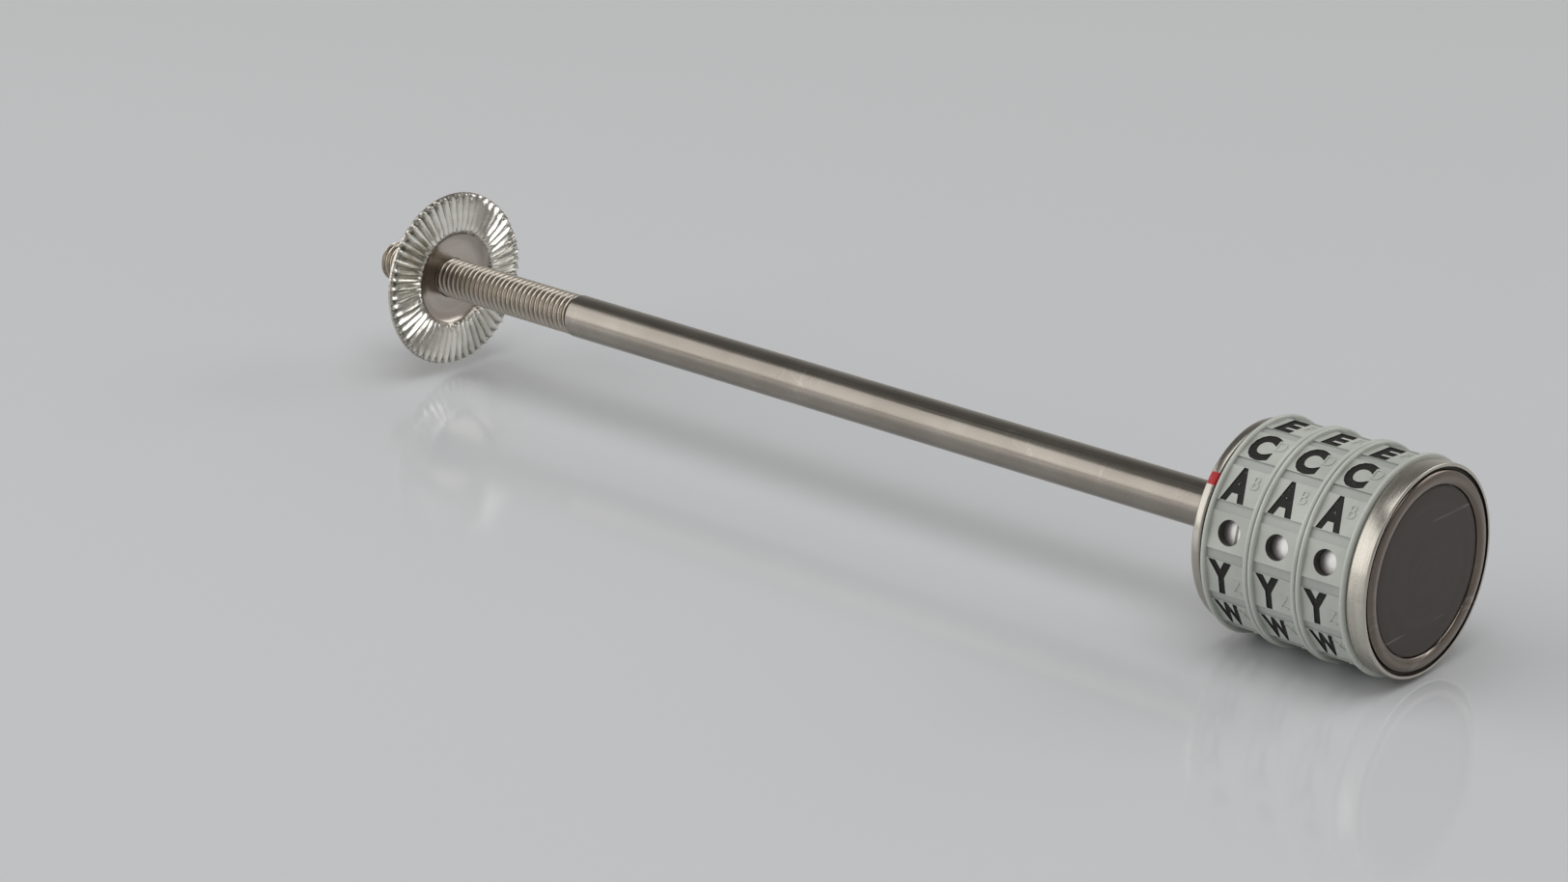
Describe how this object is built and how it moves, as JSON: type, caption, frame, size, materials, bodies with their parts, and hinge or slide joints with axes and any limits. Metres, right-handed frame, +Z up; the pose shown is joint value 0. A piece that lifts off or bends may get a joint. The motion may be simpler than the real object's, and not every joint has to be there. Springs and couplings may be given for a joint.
{
  "type": "combination wheel lock skewer",
  "caption": "Threaded skewer that clamps a bicycle wheel: a serrated cone nut on one end, a pull-off letter combination lock over a lugged sleeve on the other.",
  "frame": {"origin": "floor point under the middle of the part's length, as it lies on the rails of its dials", "axes": "+X along the skewer from the cone nut to the lock's cap, +Z up, -Y the side that shows the index mark and the open code"},
  "size_m": [0.1538, 0.0234, 0.0234],
  "materials": {
    "skewer_steel": "bright nickel plate, drawn along the rod",
    "nut_steel": "bright nickel plate over turned steel",
    "sleeve_steel": "nickel plate, turned",
    "red_enamel": "red enamel",
    "core_steel": "nickel plate, lightly worn",
    "cap_nickel": "bright nickel plate",
    "dark_disc": "dark polished plate, bare",
    "dial_paint": "light grey satin paint with a faint green tint",
    "ring_brass": "turned",
    "pin_steel": "bright",
    "click_steel": "polished"
  },
  "bodies": {
    "sleeve": {"locking_sleeve": "sleeve_steel", "index_mark": "red_enamel"},
    "skewer": {"skewer": "skewer_steel"},
    "nut": {"cone_nut": "nut_steel"},
    "lock_barrel": {"lock_core": "core_steel", "spacer_1": "core_steel", "spacer_2": "core_steel", "end_cap": "cap_nickel", "cap_disc": "dark_disc"},
    "dial_1": {"dial_1": "dial_paint", "code_ring_1": "ring_brass", "dial_pin_1": "pin_steel", "click_ball_1": "click_steel", "click_spring_1": "click_steel"},
    "dial_2": {"dial_2": "dial_paint", "code_ring_2": "ring_brass", "dial_pin_2": "pin_steel", "click_ball_2": "click_steel", "click_spring_2": "click_steel"},
    "dial_3": {"dial_3": "dial_paint", "code_ring_3": "ring_brass", "dial_pin_3": "pin_steel", "click_ball_3": "click_steel", "click_spring_3": "click_steel"}
  },
  "joints": [
    {"name": "skewer_turn", "type": "hinge", "parent": "sleeve", "child": "skewer", "pos_m": [0.05523, 0, 0.0117], "axis": [-1, 0, 0], "range_deg": [-1980, 7200]},
    {"name": "nut_travel", "type": "slide", "parent": "sleeve", "child": "nut", "axis": [1, 0, 0], "range_m": [-0.00441, 0.01601]},
    {"name": "barrel_pull", "type": "slide", "parent": "sleeve", "child": "lock_barrel", "axis": [1, 0, 0], "range_m": [0, 0.024]},
    {"name": "dial_1_turn", "type": "hinge", "parent": "lock_barrel", "child": "dial_1", "pos_m": [0.0598, 0, 0.0117], "axis": [1, 0, 0], "continuous": true},
    {"name": "dial_2_turn", "type": "hinge", "parent": "lock_barrel", "child": "dial_2", "pos_m": [0.06565, 0, 0.0117], "axis": [1, 0, 0], "continuous": true},
    {"name": "dial_3_turn", "type": "hinge", "parent": "lock_barrel", "child": "dial_3", "pos_m": [0.0715, 0, 0.0117], "axis": [1, 0, 0], "continuous": true}
  ],
  "couplings": [
    {"joint": "nut_travel", "follows": "skewer_turn", "m_per_rad": 0.00012732}
  ]
}
